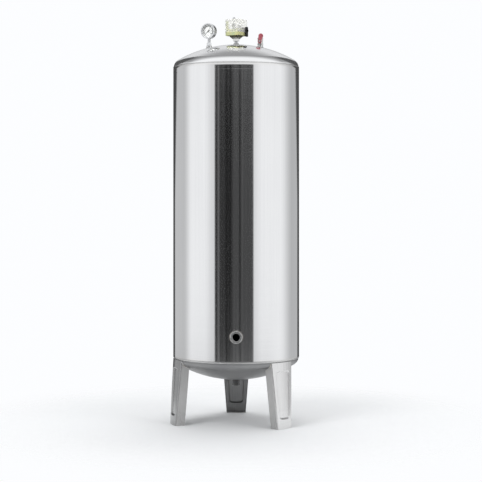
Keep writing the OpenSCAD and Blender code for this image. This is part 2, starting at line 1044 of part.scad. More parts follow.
module switch_diaphragm() {
    color("black")
        at_switch()
            difference() {
                translate([0, 0, diaphragm_bottom])
                    cylinder(d = housing_flange_od, h = diaphragm_thickness);
                at_flange_screws()
                    translate([0, 0, diaphragm_bottom - through])
                        cylinder(
                            r = flange_screw_radius + thread_clearance,
                            h = diaphragm_thickness + 2 * through
                        );
            }
}

module switch_plunger() {
    height = rocker_bottom - deck_bottom - plunger_gap;
    color("white")
        at_switch()
            translate([0, 0, deck_bottom])
                intersection() {
                    cylinder(r = plunger_radius, h = height + through);
                    translate([0, 0, height - plunger_dome])
                        union() {
                            sphere(r = plunger_dome);
                            translate([0, 0, -height])
                                cylinder(r = plunger_dome, h = height);
                        }
                }
}

module switch_base() {
    ear_y = rocker_width / 2 + lug_gap;
    base_width = switch_width - 2 * deck_inset;
    base_depth = switch_depth - 2 * deck_inset;
    corner = switch_cover_radius - deck_inset;
    color("darkkhaki")
        at_switch()
            difference() {
                union() {
                    translate([0, 0, deck_bottom - switch_skirt])
                        linear_extrude(switch_skirt + switch_sheet)
                            rounded_rectangle(base_width, base_depth, corner);
                    for (side = [0, 1])
                        mirror([0, side, 0])
                            translate([-pivot_distance, ear_y, 0]) {
                                translate([-ear_length / 2, 0, deck_top - switch_sheet])
                                    cube([ear_length, switch_sheet, pivot_height - deck_top + switch_sheet]);
                                translate([0, switch_sheet, pivot_height])
                                    rotate([90, 0, 0])
                                        cylinder(d = ear_length, h = switch_sheet);
                            }
                    translate([
                        -switch_width / 2 + switch_cover_wall + upright_gap,
                        -base_depth / 2 + upright_side_gap,
                        deck_top - switch_sheet
                    ])
                        cube([switch_sheet, upright_width, upright_height + switch_sheet]);
                    translate([
                        -base_width / 2 + corner,
                        -switch_depth / 2 + switch_cover_wall + upright_gap,
                        deck_top - switch_sheet
                    ])
                        cube([
                            base_width - 2 * corner,
                            switch_sheet,
                            deck_lip_height + switch_sheet
                        ]);
                }
                translate([0, 0, deck_bottom - switch_skirt - through])
                    linear_extrude(switch_skirt + through)
                        rounded_rectangle(
                            base_width - 2 * switch_sheet,
                            base_depth - 2 * switch_sheet,
                            corner - switch_sheet
                        );
                translate([0, 0, deck_bottom - through])
                    cylinder(r = plunger_radius + plunger_clearance, h = switch_sheet + 2 * through);
                translate([-pivot_distance, rocker_width, pivot_height])
                    rotate([90, 0, 0])
                        cylinder(r = pivot_radius, h = 2 * rocker_width);
                at_flange_screws()
                    translate([0, 0, deck_bottom - through])
                        cylinder(
                            r = flange_screw_radius + thread_clearance,
                            h = switch_sheet + 2 * through
                        );
            }
}

module switch_housing_screws() {
    color("silver")
        at_switch()
            at_flange_screws() {
                translate([0, 0, flange_bottom - flange_screw_head_height])
                    cylinder(r = flange_screw_head, h = flange_screw_head_height);
                translate([0, 0, flange_bottom])
                    cylinder(r = flange_screw_radius, h = deck_top - flange_bottom - 0.2);
            }
}

module switch_rocker() {
    far_end = 20;
    near_end = pivot_distance - pivot_radius;
    color("darkkhaki")
        at_switch()
            difference() {
                union() {
                    translate([-near_end, -rocker_width / 2, rocker_bottom])
                        cube([near_end + far_end, rocker_width, rocker_thickness]);
                    for (side = [0, 1])
                        mirror([0, side, 0])
                            translate([-pivot_distance, rocker_width / 2 - switch_sheet, 0]) {
                                translate([0, switch_sheet, pivot_height])
                                    rotate([90, 0, 0])
                                        cylinder(r = lug_radius, h = switch_sheet);
                                translate([0, 0, pivot_height])
                                    cube([
                                        2 * lug_radius,
                                        switch_sheet,
                                        rocker_top - pivot_height
                                    ]);
                            }
                }
                translate([-pivot_distance, rocker_width, pivot_height])
                    rotate([90, 0, 0])
                        cylinder(r = pivot_radius + pivot_clearance, h = 2 * rocker_width);
                translate([-main_stud_distance, 0, rocker_bottom - through])
                    cylinder(r = main_stud_radius + stud_swing, h = rocker_thickness + 2 * through);
                translate([differential_stud_distance, 0, rocker_bottom - through])
                    cylinder(
                        r = differential_stud_radius + stud_swing,
                        h = rocker_thickness + 2 * through
                    );
            }
}

module switch_pivot_pin() {
    half_length = rocker_width / 2 + lug_gap + switch_sheet + 0.6;
    color("silver")
        at_switch()
            translate([-pivot_distance, half_length, pivot_height])
                rotate([90, 0, 0])
                    cylinder(r = pivot_radius, h = 2 * half_length);
}

// A threaded post on the base plate, with a riveted collar
module post(distance, radius, height) {
    translate([distance, 0, deck_top]) {
        cylinder(r = radius, h = height);
        cylinder(r = radius + stud_collar, h = stud_collar_height);
    }
}

// Washer and nut over a spring; z = 0 is the washer's underside
module spring_nut(radius, washer_radius, flats) {
    difference() {
        union() {
            cylinder(r = washer_radius, h = washer_height);
            translate([0, 0, washer_height])
                hexagon(flats, spring_nut_height);
        }
        translate([0, 0, -through])
            cylinder(r = radius, h = washer_height + spring_nut_height + 2 * through);
    }
}

// A coil of round wire that stands on z = 0
module coil_spring(coil_radius, wire_radius, height, turns) {
    sides = 8;
    rings_per_turn = 14;
    last = turns * rings_per_turn;
    points = [
        for (i = [0 : last])
            for (j = [0 : sides - 1])
                let (
                    turn = 360 * i / rings_per_turn,
                    round = 360 * j / sides,
                    reach = coil_radius + wire_radius * cos(round),
                    rise = wire_radius + (height - 2 * wire_radius) * i / last
                )
                [reach * cos(turn), reach * sin(turn), rise + wire_radius * sin(round)]
    ];
    walls = [
        for (i = [0 : last - 1])
            for (j = [0 : sides - 1])
                let (k = (j + 1) % sides)
                [
                    i * sides + j,
                    i * sides + k,
                    (i + 1) * sides + k,
                    (i + 1) * sides + j
                ]
    ];
    near_cap = [for (j = [0 : sides - 1]) sides - 1 - j];
    far_cap = [for (j = [0 : sides - 1]) last * sides + j];
    polyhedron(points, concat(walls, [near_cap, far_cap]), convexity = 10);
}

module switch_main_stud() {
    color("silver")
        at_switch()
            post(-main_stud_distance, main_stud_radius, switch_cover_height + cover_nut_hex);
}

module switch_main_spring() {
    color("gray")
        at_switch()
            translate([-main_stud_distance, 0, rocker_top])
                coil_spring(main_coil_radius, main_wire, main_spring_height, main_turns);
}

module switch_main_nut() {
    color("silver")
        at_switch()
            translate([-main_stud_distance, 0, rocker_top + main_spring_height])
                spring_nut(main_stud_radius, main_coil_radius + 2 * main_wire, main_nut_flats);
}

module switch_differential_stud() {
    stud_height = rocker_top + differential_spring_height + 8 - deck_top;
    color("silver")
        at_switch()
            post(differential_stud_distance, differential_stud_radius, stud_height);
}

module switch_differential_spring() {
    color("gray")
        at_switch()
            translate([differential_stud_distance, 0, rocker_top])
                coil_spring(
                    differential_coil_radius, differential_wire,
                    differential_spring_height, differential_turns
                );
}

module switch_differential_nut() {
    color("silver")
        at_switch()
            translate([differential_stud_distance, 0, rocker_top + differential_spring_height])
                spring_nut(
                    differential_stud_radius,
                    differential_coil_radius + 2 * differential_wire,
                    differential_nut_flats
                );
}

// The places of the four terminals on the contact block
module at_terminals() {
    for (i = [0 : 3])
        translate([
            block_x + block_length / 2 + (i - 1.5) * terminal_pitch,
            block_y + block_depth / 2,
            deck_top + contact_block_height
        ])
            children();
}

module switch_contact_block() {
    barrier = 1.2;
    color("black")
        at_switch() {
            difference() {
                translate([block_x, block_y, deck_top])
                    cube([block_length, block_depth, contact_block_height]);
                at_terminals()
                    translate([0, 0, -contact_block_height / 2])
                        cylinder(r = terminal_radius, h = contact_block_height);
            }
            for (i = [-1 : 1])
                translate([
                    block_x + block_length / 2 + i * terminal_pitch - barrier / 2,
                    block_y,
                    deck_top + contact_block_height
                ])
                    cube([barrier, block_depth, 4]);
        }
}

module switch_terminal_screws() {
    head_radius_mm = 3.2;
    color("goldenrod")
        at_switch()
            at_terminals()
                difference() {
                    union() {
                        cylinder(r = head_radius_mm, h = 2);
                        translate([0, 0, -contact_block_height / 2])
                            cylinder(r = terminal_radius, h = contact_block_height / 2);
                    }
                    translate([-head_radius_mm, -0.4, 1.2])
                        cube([2 * head_radius_mm, 0.8, through]);
                }
}

module switch_fixed_contacts() {
    ledge = 1;
    top = rocker_bottom - 0.4;
    color("goldenrod")
        at_switch()
            for (x = contact_positions) {
                translate([x - contact_strip_width / 2, block_y - contact_reach, top - ledge])
                    cube([contact_strip_width, contact_reach, ledge]);
                translate([x - contact_strip_width / 2, block_y - contact_strip_thickness, top - 6])
                    cube([contact_strip_width, contact_strip_thickness, 6]);
                translate([x, block_y - contact_reach / 2 - 0.3, top])
                    cylinder(r = contact_radius - 0.3, h = 0.5);
            }
}

module switch_moving_contacts() {
    button_bottom = rocker_bottom + 0.2;
    color("orange")
        at_switch()
            for (x = contact_positions) {
                translate([x - contact_strip_width / 2, contact_strip_start, rocker_top])
                    cube([
                        contact_strip_width,
                        rocker_width / 2 + contact_reach - 0.2 - contact_strip_start,
                        contact_strip_thickness
                    ]);
                translate([x, block_y - contact_reach / 2 - 0.3, button_bottom])
                    cylinder(r = contact_radius - 0.3, h = rocker_top - button_bottom);
            }
}

// The cover's block, pulled in by inset, from bottom to the cover's top
module cover_block(inset, bottom) {
    radius = switch_cover_radius - inset;
    half_width = switch_width / 2 - inset - radius;
    half_depth = switch_depth / 2 - inset - radius;
    top = cover_top - inset - radius;
    hull() {
        for (x = [-1, 1])
            for (y = [-1, 1]) {
                translate([x * half_width, y * half_depth, bottom])
                    cylinder(r = radius, h = slice, $fn = corner_facets);
                translate([x * half_width, y * half_depth, top])
                    sphere(r = radius, $fn = corner_facets);
            }
    }
}

module switch_cover() {
    color("ivory", 0.6)
        at_switch()
            difference() {
                cover_block(0, deck_top);
                cover_block(switch_cover_wall, deck_top - through);
                translate([-main_stud_distance, 0, cover_top - switch_cover_wall - through])
                    cylinder(r = main_stud_radius + 0.4, h = switch_cover_wall + 2 * through);
                translate([switch_width / 2 - switch_cover_wall - through, grommet_y, grommet_height])
                    rotate([0, 90, 0])
                        cylinder(r = grommet_neck, h = switch_cover_wall + 2 * through);
            }
}

module switch_cover_nut() {
    dome = cover_nut_flats / 2 - 0.3;
    color("silver")
        at_switch()
            translate([-main_stud_distance, 0, cover_top])
                difference() {
                    union() {
                        hexagon(cover_nut_flats, cover_nut_hex);
                        intersection() {
                            translate([0, 0, cover_nut_hex - 0.6])
                                sphere(r = dome);
                            translate([0, 0, cover_nut_hex])
                                cylinder(r = dome, h = dome);
                        }
                    }
                    translate([0, 0, -through])
                        cylinder(r = main_stud_radius, h = cover_nut_hex + through);
                }
}

module switch_grommet() {
    color("black")
        at_switch()
            translate([switch_width / 2, grommet_y, grommet_height])
                rotate([0, 90, 0])
                    difference() {
                        union() {
                            translate([0, 0, -switch_cover_wall])
                                cylinder(r = grommet_neck, h = switch_cover_wall);
                            translate([0, 0, -switch_cover_wall - 1.5])
                                cylinder(r1 = grommet_neck, r2 = grommet_inner, h = 1.5);
                            translate([grommet_drop - grommet_length / 2 + grommet_inner + 1, 0, 0])
                                linear_extrude(grommet_pad_thickness)
                                    rounded_rectangle(grommet_length, grommet_width, grommet_corner);
                            cylinder(r = grommet_inner, h = grommet_stand_out);
                        }
                        translate([0, 0, grommet_pad_thickness - 1])
                            cylinder(r = grommet_neck, h = grommet_stand_out);
                    }
}

// Bleed valve

module at_valve() {
    translate([valve_offset, 0, valve_seat])
        rotate([0, 0, valve_turn])
            children();
}

// The stem's own frame: z towards the viewer, x to the right, y up
module at_valve_stem() {
    at_valve()
        translate([0, 0, valve_centre])
            rotate([90, 0, 0])
                children();
}

// The lever's own frame: as the stem's, leaned so that y runs along the lever
module at_lever() {
    at_valve_stem()
        rotate([0, 0, -lever_lean])
            children();
}

module valve_body() {
    color("silver")
        difference() {
            union() {
                at_valve() {
                    translate([0, 0, -thread_length])
                        cylinder(r = thread_radius, h = thread_length);
                    hexagon(valve_flats, valve_hex_height);
                    translate([0, 0, chamber_bottom])
                        cylinder(d = valve_chamber_od, h = valve_chamber_height);
                }
                at_valve_stem()
                    cylinder(r = boss_radius, h = boss_end);
            }
            at_valve() {
                translate([0, 0, -thread_length - through])
                    cylinder(d = valve_passage, h = thread_length + chamber_top);
                translate([0, 0, chamber_bottom])
                    cylinder(r = valve_bore_radius, h = valve_chamber_height + through);
            }
            at_valve_stem()
                cylinder(r = valve_stem_radius + pivot_clearance, h = boss_end + through);
        }
}

module valve_seats() {
    color("white")
        at_valve()
            difference() {
                for (bottom = [chamber_bottom, chamber_top - spigot_height - seat_height])
                    translate([0, 0, bottom])
                        cylinder(r = valve_bore_radius, h = seat_height);
                cylinder(d = valve_passage, h = chamber_top + through);
                translate([0, 0, valve_centre])
                    sphere(r = valve_ball_radius + seat_clearance);
            }
}

module valve_end_fitting() {
    nozzle_radius = 4;
    nozzle_bottom = chamber_top + valve_hex_height;
    color("silver")
        at_valve()
            difference() {
                union() {
                    translate([0, 0, chamber_top - spigot_height])
                        cylinder(r = valve_bore_radius - thread_clearance, h = spigot_height);
                    translate([0, 0, chamber_top])
                        hexagon(valve_flats, valve_hex_height);
                    translate([0, 0, nozzle_bottom])
                        cylinder(r = nozzle_radius - 0.8, h = valve_nozzle_length);
                    for (i = [0 : 1])
                        translate([0, 0, nozzle_bottom + (2 * i + 1) * valve_nozzle_length / 4])
                            cylinder(r1 = nozzle_radius, r2 = nozzle_radius - 0.8, h = valve_nozzle_length / 4);
                }
                translate([0, 0, chamber_top - spigot_height - through])
                    cylinder(d = valve_passage, h = 2 * nozzle_bottom);
            }
}

module valve_ball() {
    color("silver")
        at_lever()
            difference() {
                sphere(r = valve_ball_radius);
                rotate([90, 0, 0])
                    cylinder(d = valve_passage, h = valve_ball_od, center = true);
                translate([-stem_tang / 2, -valve_ball_radius, valve_ball_radius - tang_depth])
                    cube([stem_tang, valve_ball_od, valve_ball_radius]);
            }
}

module valve_stem() {
    tang_height = 4;
    color("silver")
        at_lever() {
            translate([0, 0, valve_ball_radius])
                cylinder(r = valve_stem_radius, h = lever_back - valve_ball_radius);
            translate([0, 0, lever_back])
                cylinder(r = stem_end_radius, h = lever_thickness + lever_nut_height + 0.5);
            translate([-stem_tang / 2, -tang_height / 2, valve_ball_radius - tang_depth])
                cube([stem_tang, tang_height, tang_depth]);
        }
}

module valve_packing_nut() {
    color("silver")
        at_valve_stem()
            translate([0, 0, boss_end])
                difference() {
                    hexagon(packing_nut_flats, packing_nut_height);
                    translate([0, 0, -through])
                        cylinder(
                            r = valve_stem_radius + pivot_clearance,
                            h = packing_nut_height + 2 * through
                        );
                }
}

module valve_lever() {
    shoulder = lever_length - lever_end_width / 2;
    color("firebrick")
        at_lever()
            difference() {
                translate([0, 0, lever_back])
                    linear_extrude(lever_thickness) {
                        circle(r = lever_hub_radius);
                        translate([0, shoulder])
                            circle(d = lever_end_width);
                        polygon([
                            [-lever_neck_width / 2, 0],
                            [lever_neck_width / 2, 0],
                            [lever_end_width / 2, shoulder],
                            [-lever_end_width / 2, shoulder]
                        ]);
                    }
                translate([0, 0, lever_back - through])
                    cylinder(r = stem_end_radius, h = lever_thickness + 2 * through);
            }
}

module valve_lever_nut() {
    color("silver")
        at_lever()
            translate([0, 0, lever_front])
                difference() {
                    hexagon(lever_nut_flats, lever_nut_height);
                    translate([0, 0, -through])
                        cylinder(r = stem_end_radius, h = lever_nut_height + 2 * through);
                }
}

cylinder_shell();
top_head();
bottom_head();
leg_left();
leg_right();
leg_rear();
front_port();
drain_socket();
drain_plug();
gauge_socket();
switch_socket();
valve_socket();
gauge_stem();
gauge_case();
gauge_bezel();
gauge_lens();
gauge_dial();
gauge_pointer();
gauge_pinion();
gauge_bourdon_tube();
gauge_movement_frame();
gauge_sector();
switch_nipple();
switch_housing();
switch_diaphragm();
switch_plunger();
switch_base();
switch_housing_screws();
switch_rocker();
switch_pivot_pin();
switch_main_stud();
switch_main_spring();
switch_main_nut();
switch_differential_stud();
switch_differential_spring();
switch_differential_nut();
switch_contact_block();
switch_terminal_screws();
switch_fixed_contacts();
switch_moving_contacts();
switch_cover();
switch_cover_nut();
switch_grommet();
valve_body();
valve_seats();
valve_end_fitting();
valve_ball();
valve_stem();
valve_packing_nut();
valve_lever();
valve_lever_nut();
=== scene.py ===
"""Looks of the stainless steel well pressure tank: metals, plastics, dial, weld beads and a plain studio."""

import math

import bmesh
import bpy
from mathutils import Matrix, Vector

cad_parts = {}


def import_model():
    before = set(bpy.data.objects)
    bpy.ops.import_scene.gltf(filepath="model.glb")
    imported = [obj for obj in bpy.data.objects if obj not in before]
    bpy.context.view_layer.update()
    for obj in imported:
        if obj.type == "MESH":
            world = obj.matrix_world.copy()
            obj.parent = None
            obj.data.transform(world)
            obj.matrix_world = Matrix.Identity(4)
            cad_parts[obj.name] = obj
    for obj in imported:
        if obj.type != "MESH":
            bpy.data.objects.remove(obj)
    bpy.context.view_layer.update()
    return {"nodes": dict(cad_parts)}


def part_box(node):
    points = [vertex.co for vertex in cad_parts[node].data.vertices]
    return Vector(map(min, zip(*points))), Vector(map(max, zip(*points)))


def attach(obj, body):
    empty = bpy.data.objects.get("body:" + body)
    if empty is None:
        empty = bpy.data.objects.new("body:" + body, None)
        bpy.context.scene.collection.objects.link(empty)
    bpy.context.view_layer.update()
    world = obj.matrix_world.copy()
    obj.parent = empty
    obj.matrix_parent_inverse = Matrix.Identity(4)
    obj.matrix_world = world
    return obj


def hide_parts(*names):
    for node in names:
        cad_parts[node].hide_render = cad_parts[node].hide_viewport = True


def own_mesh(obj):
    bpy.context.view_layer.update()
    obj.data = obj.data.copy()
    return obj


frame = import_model()
nodes = frame["nodes"]
scene = bpy.context.scene

# Sizes that the pieces below share with the CAD source, in metres
SHELL_RADIUS = 0.2
SHELL_BASE = 0.207
SHELL_TOP = 1.1255
HEAD_RADIUS = 0.1985
KNUCKLE = 0.025
CROWN = 0.370
LEG_TOP = 0.2035
LEG_TOP_WIDTH = 0.094
LEG_FOOT_WIDTH = 0.063
LEG_SPLAY = 0.012
LEG_DEPTH = 0.033
LEG_AZIMUTHS = {"left": -72, "right": 46, "rear": 180}

# Distances from the tank's axis between which the port's weld metal, darkened as painted shade, ends, and the height of
# the hexagon's top on the switch's inlet
PORT_SHADE_RING = (0.2022, 0.2032)
HEX_TOP = 1.2167

# The upper ends of the two springs that the pressure switch's rocker works against
SPRING_TOPS = {"switch_main_spring": 1.264701, "switch_differential_spring": 1.258301}

# The gauge: place of its stem, turn of its dial (less than 0 is to the left), distance of the marks in front of
# the stem, and the scale's start, anticlockwise from the dial's right, and its clockwise sweep
GAUGE_X = -0.086
GAUGE_TURN = -25
MARKS_FORWARD = 0.00543
SCALE_START = 225
SCALE_SWEEP = 270
SCALE_DIVISIONS = 50

# Folds of the studio's front flag: from and to in degrees, softness, tone
FOLDS = (
    (-33.6, -30.2, 0.8, 0.13),
    (-19.5, -8.5, 1.8, 0.017),
    (4.9, 8.3, 0.8, 0.030),
    (10.2, 12.4, 0.6, 0.088),
)
SCRIM_RADIUS = 12.0  # metres, round the middle of the tank


def make_camera():
    """The photograph's viewing angle: level, with the horizon above the frame's middle."""
    data = bpy.data.cameras.new("camera")
    data.sensor_width = 36
    data.lens = 105.6
    data.shift_x = 0.0100
    data.shift_y = -0.0954
    data.clip_end = 100
    cam = bpy.data.objects.new("camera", data)
    scene.collection.objects.link(cam)
    cam.location = (0, -4.5, 0.72)
    cam.rotation_euler = (math.radians(90), 0, 0)
    scene.camera = cam


class Net:
    """Short hand for wiring one shader net."""

    def __init__(self, tree):
        self.tree = tree

    def add(self, kind, **props):
        n = self.tree.nodes.new(kind)
        for k, v in props.items():
            setattr(n, k, v)
        return n

    def put(self, socket, value):
        if isinstance(value, bpy.types.NodeSocket):
            self.tree.links.new(value, socket)
        elif isinstance(value, tuple) and len(value) == 3 and socket.type == "RGBA":
            socket.default_value = (*value, 1)
        else:
            socket.default_value = value

    def math(self, op, a, b=0.0, c=0.0):
        n = self.add("ShaderNodeMath", operation=op)
        for socket, value in zip(n.inputs, (a, b, c)):
            self.put(socket, value)
        return n.outputs[0]

    def ramp(self, value, low, high, out_low=0.0, out_high=1.0, smooth=True):
        n = self.add("ShaderNodeMapRange")
        n.interpolation_type = "SMOOTHSTEP" if smooth else "LINEAR"
        for socket, v in zip(n.inputs, (value, low, high, out_low, out_high)):
            self.put(socket, v)
        return n.outputs[0]

    def window(self, value, low, high, soft):
        """1 between low and high, falling to 0 over soft on each side."""
        rise = self.ramp(value, low - soft, low + soft)
        fall = self.ramp(value, high - soft, high + soft, 1.0, 0.0)
        return self.math("MULTIPLY", rise, fall)

    def mix(self, share, a, b):
        n = self.add("ShaderNodeMix", data_type="RGBA")
        self.put(n.inputs[0], share)
        self.put(n.inputs[6], a)
        self.put(n.inputs[7], b)
        return n.outputs[2]

    def blend(self, share, a, b):
        n = self.add("ShaderNodeMix", data_type="FLOAT")
        self.put(n.inputs[0], share)
        self.put(n.inputs[2], a)
        self.put(n.inputs[3], b)
        return n.outputs[0]

    def place(self):
        return self.add("ShaderNodeTexCoord").outputs["Object"]

    def noise(self, scale, stretch=(1, 1, 1), detail=3.0, rough=0.55, offset=(0, 0, 0)):
        m = self.add("ShaderNodeMapping")
        self.put(m.inputs["Vector"], self.place())
        m.inputs["Scale"].default_value = stretch
        m.inputs["Location"].default_value = offset
        n = self.add("ShaderNodeTexNoise")
        self.put(n.inputs["Vector"], m.outputs[0])
        n.inputs["Scale"].default_value = scale
        n.inputs["Detail"].default_value = detail
        n.inputs["Roughness"].default_value = rough
        return n.outputs["Fac"]

    def bump(self, height, strength, distance, under=None):
        n = self.add("ShaderNodeBump")
        n.inputs["Strength"].default_value = strength
        n.inputs["Distance"].default_value = distance
        self.put(n.inputs["Height"], height)
        if under is not None:
            self.put(n.inputs["Normal"], under)
        return n.outputs[0]

    def axes(self):
        s = self.add("ShaderNodeSeparateXYZ")
        self.put(s.inputs[0], self.place())
        return s.outputs

    def radius(self, axes):
        """Distance from the tank's upright axis."""
        squares = [self.math("MULTIPLY", axes[i], axes[i]) for i in (0, 1)]
        return self.math("SQRT", self.math("ADD", *squares))

    def azimuth(self, axes):
        """Angle round the tank's axis, from the front towards the right, in radians."""
        return self.math("ARCTAN2", axes[0], self.math("MULTIPLY", axes[1], -1.0))

    def tone(self, a, share, b, low=0.0, high=1.0):
        """Two noises in one, stretched over the range from low to high."""
        both = self.math("MULTIPLY_ADD", a, share, self.math("MULTIPLY", b, 1 - share))
        return self.ramp(both, 0.3, 0.7, low, high)

    def mix_shaders(self, share, a, b):
        n = self.add("ShaderNodeMixShader")
        for socket, value in zip(n.inputs, (share, a, b)):
            self.put(socket, value)
        return n.outputs[0]

    def finish(self, kind, shader):
        """Ends the net in an output node of this kind."""
        self.put(self.add(kind).inputs["Surface"], shader)


def material(name, metallic=0.0, **sockets):
    """A new material with a Principled shader, its net, and the shader's inputs."""
    m = bpy.data.materials.new(name)
    m.use_nodes = True
    shader = m.node_tree.nodes["Principled BSDF"]
    shader.inputs["Metallic"].default_value = metallic
    for k, v in sockets.items():
        shader.inputs[k.replace("_", " ")].default_value = v
    return m, Net(m.node_tree), shader.inputs


def surface(name, dark, light, rough, metallic=0.0, grain=300.0, stretch=(1, 1, 1), patch=18.0, dent=0.2):
    """A material between two near tones, with patches, a fine grain in its gloss and a grain in its relief."""
    m, net, s = material(name, metallic)
    broad = net.noise(patch, detail=4)
    fine = net.noise(grain, stretch, detail=4)
    net.put(s["Base Color"], net.mix(net.tone(fine, 0.35, broad), dark, light))
    net.put(s["Roughness"], net.tone(fine, 0.35, broad, *rough))
    net.put(s["Normal"], net.bump(fine, dent, 0.0001))
    return m


def polished_steel():
    """Rolled and polished sheet: long streaks from rolling, fine rings from polishing, rims drawn in by their welds."""
    m, net, s = material("polished_steel", 1.0)
    s["Anisotropic"].default_value = 0.7
    s["Anisotropic Rotation"].default_value = 0.25
    tangent = net.add("ShaderNodeTangent", direction_type="RADIAL", axis="Z")
    net.put(s["Tangent"], tangent.outputs[0])
    streak = net.noise(1.0, (240, 240, 1.6), detail=5)
    ring = net.noise(1.0, (5, 5, 900), detail=4)
    cloud = net.noise(4.0, detail=4)
    height = net.axes()[2]
    weld = net.math(
        "ADD",
        net.window(height, SHELL_TOP - 0.0022, SHELL_TOP + 0.0018, 0.0008),
        net.window(height, SHELL_BASE - 0.0018, SHELL_BASE + 0.0022, 0.0008),
    )
    tint = net.math(
        "ADD",
        net.window(height, SHELL_TOP - 0.008, SHELL_TOP + 0.006, 0.004),
        net.window(height, SHELL_BASE - 0.006, SHELL_BASE + 0.008, 0.004),
    )
    sheet = net.mix(net.tone(streak, 0.6, cloud), (0.81, 0.81, 0.815), (0.86, 0.86, 0.86))
    warm = net.mix(net.math("MULTIPLY", tint, 0.25), sheet, (0.76, 0.74, 0.70))
    net.put(s["Base Color"], net.mix(net.math("MULTIPLY", weld, 0.5), warm, (0.60, 0.60, 0.59)))
    gloss = net.tone(ring, 0.5, streak, 0.07, 0.13)
    net.put(s["Roughness"], net.math("MULTIPLY_ADD", weld, 0.22, gloss))
    ripple = net.math("SINE", net.math("MULTIPLY", net.azimuth(net.axes()), 420.0))
    # The rims lean inwards over their last centimetre, and a shallow ring lies below the upper one
    lean = net.math(
        "ADD",
        net.ramp(height, SHELL_TOP - 0.0085, SHELL_TOP + 0.001, 0.0, -1.0),
        net.ramp(height, SHELL_BASE - 0.001, SHELL_BASE + 0.0055, -0.25, 0.0),
    )
    groove = net.window(height, SHELL_TOP - 0.0205, SHELL_TOP - 0.0180, 0.0015)
    form = net.bump(net.math("MULTIPLY_ADD", groove, -0.06, lean), 1.0, 0.0008)
    fine = net.bump(ring, 0.25, 0.000004, form)
    net.put(s["Normal"], net.bump(net.math("MULTIPLY", ripple, weld), 0.35, 0.0004, fine))
    return m


def domed_steel():
    """The upper head: spun and polished, with a slow unevenness and rings round the crown."""
    m, net, s = material("domed_steel", 1.0)
    cloud = net.noise(7.0, detail=4)
    slow = net.noise(9.0, detail=1)
    ax = net.axes()
    turns = net.add("ShaderNodeTexNoise", noise_dimensions="1D")
    turns.inputs["Scale"].default_value = 900.0
    net.put(turns.inputs["W"], net.radius(ax))
    rings = turns.outputs["Fac"]
    rim = net.window(ax[2], SHELL_TOP - 0.001, SHELL_TOP + 0.0016, 0.0008)
    # Painted light: the base colour is set lighter than the shell's steel to brighten the crown's reflections
    sheet = net.mix(net.ramp(cloud, 0.3, 0.7), (0.88, 0.88, 0.885), (0.93, 0.93, 0.93))
    net.put(s["Base Color"], net.mix(net.math("MULTIPLY", rim, 0.6), sheet, (0.58, 0.57, 0.55)))
    gloss = net.tone(rings, 0.5, cloud, 0.12, 0.19)
    net.put(s["Roughness"], net.math("MULTIPLY_ADD", rim, 0.2, gloss))
    form = net.bump(slow, 0.35, 0.0012)
    net.put(s["Normal"], net.bump(rings, 0.2, 0.000004, form))
    return m


def lower_head_painted_shade():
    """The lower head: satin and faintly clouded, its dark grey base colour painted shade for the shade and dark
    reflections under the tank.
    """
    m, net, s = material("lower_head_painted_shade", 1.0)
    cloud = net.noise(11.0, detail=5)
    fine = net.noise(500.0, detail=3)
    tone = net.tone(fine, 0.25, cloud)
    # Painted shade: the base colour is kept dark grey to stand in for the shade and dark reflections under the tank.
    net.put(s["Base Color"], net.mix(tone, (0.28, 0.28, 0.285), (0.36, 0.36, 0.36)))
    net.put(s["Roughness"], net.ramp(tone, 0.0, 1.0, 0.34, 0.44))
    net.put(s["Normal"], net.bump(fine, 0.05, 0.0001))
    return m


def facing_out(net, axes):
    """1 where a face looks straight away from the tank's axis, -1 where it looks straight at it."""
    flat = net.add("ShaderNodeCombineXYZ")
    net.put(flat.inputs[0], axes[0])
    net.put(flat.inputs[1], axes[1])
    outward = net.add("ShaderNodeVectorMath", operation="NORMALIZE")
    net.put(outward.inputs[0], flat.outputs[0])
    facing = net.add("ShaderNodeVectorMath", operation="DOT_PRODUCT")
    net.put(facing.inputs[0], outward.outputs[0])
    net.put(facing.inputs[1], net.add("ShaderNodeNewGeometry").outputs["True Normal"])
    return facing.outputs["Value"]


def pressed_steel():
    """Sheet of the legs: satin outside with drawn lines, rougher on the side towards the tank. Its colour holds painted
    light and shade: lighter on the right-hand faces, darker on the left-hand faces and the side walls, and darkest on
    the inside.
    """
    m, net, s = material("pressed_steel", 1.0)
    draw = net.noise(1.0, (260, 260, 8), detail=4)
    cloud = net.noise(14.0, detail=5)
    tone = net.tone(draw, 0.5, cloud)
    ax = net.axes()
    facing = facing_out(net, ax)
    # Painted light and shade: the outer faces are painted brighter on the right than on the left, the side walls are
    # painted a shade between them, and the inside is painted dark grey as shade
    left = net.mix(tone, (0.36, 0.36, 0.36), (0.45, 0.45, 0.45))
    right = net.mix(tone, (0.72, 0.715, 0.71), (0.80, 0.795, 0.79))
    face = net.mix(net.ramp(ax[0], -0.16, 0.02), left, right)
    shaded_wall = net.mix(tone, (0.48, 0.475, 0.47), (0.57, 0.565, 0.56))
    sheet = net.mix(net.ramp(facing, 0.15, 0.85), shaded_wall, face)
    # Painted shade: the inside faces towards the tank are painted dark grey
    shaded_inside = net.mix(tone, (0.25, 0.25, 0.25), (0.32, 0.32, 0.32))
    inside = net.ramp(facing, -0.7, -0.5, 1.0, 0.0)
    net.put(s["Base Color"], net.mix(inside, sheet, shaded_inside))
    # The sloped walls of the panel are duller than the flats
    sloped = net.window(facing, 0.18, 0.80, 0.06)
    dull = net.math("MAXIMUM", net.math("MULTIPLY", inside, 0.5), sloped)
    net.put(s["Roughness"], net.math("MULTIPLY_ADD", dull, 0.26, net.ramp(tone, 0.0, 1.0, 0.16, 0.24)))
    net.put(s["Normal"], net.bump(draw, 0.05, 0.00005))
    return m


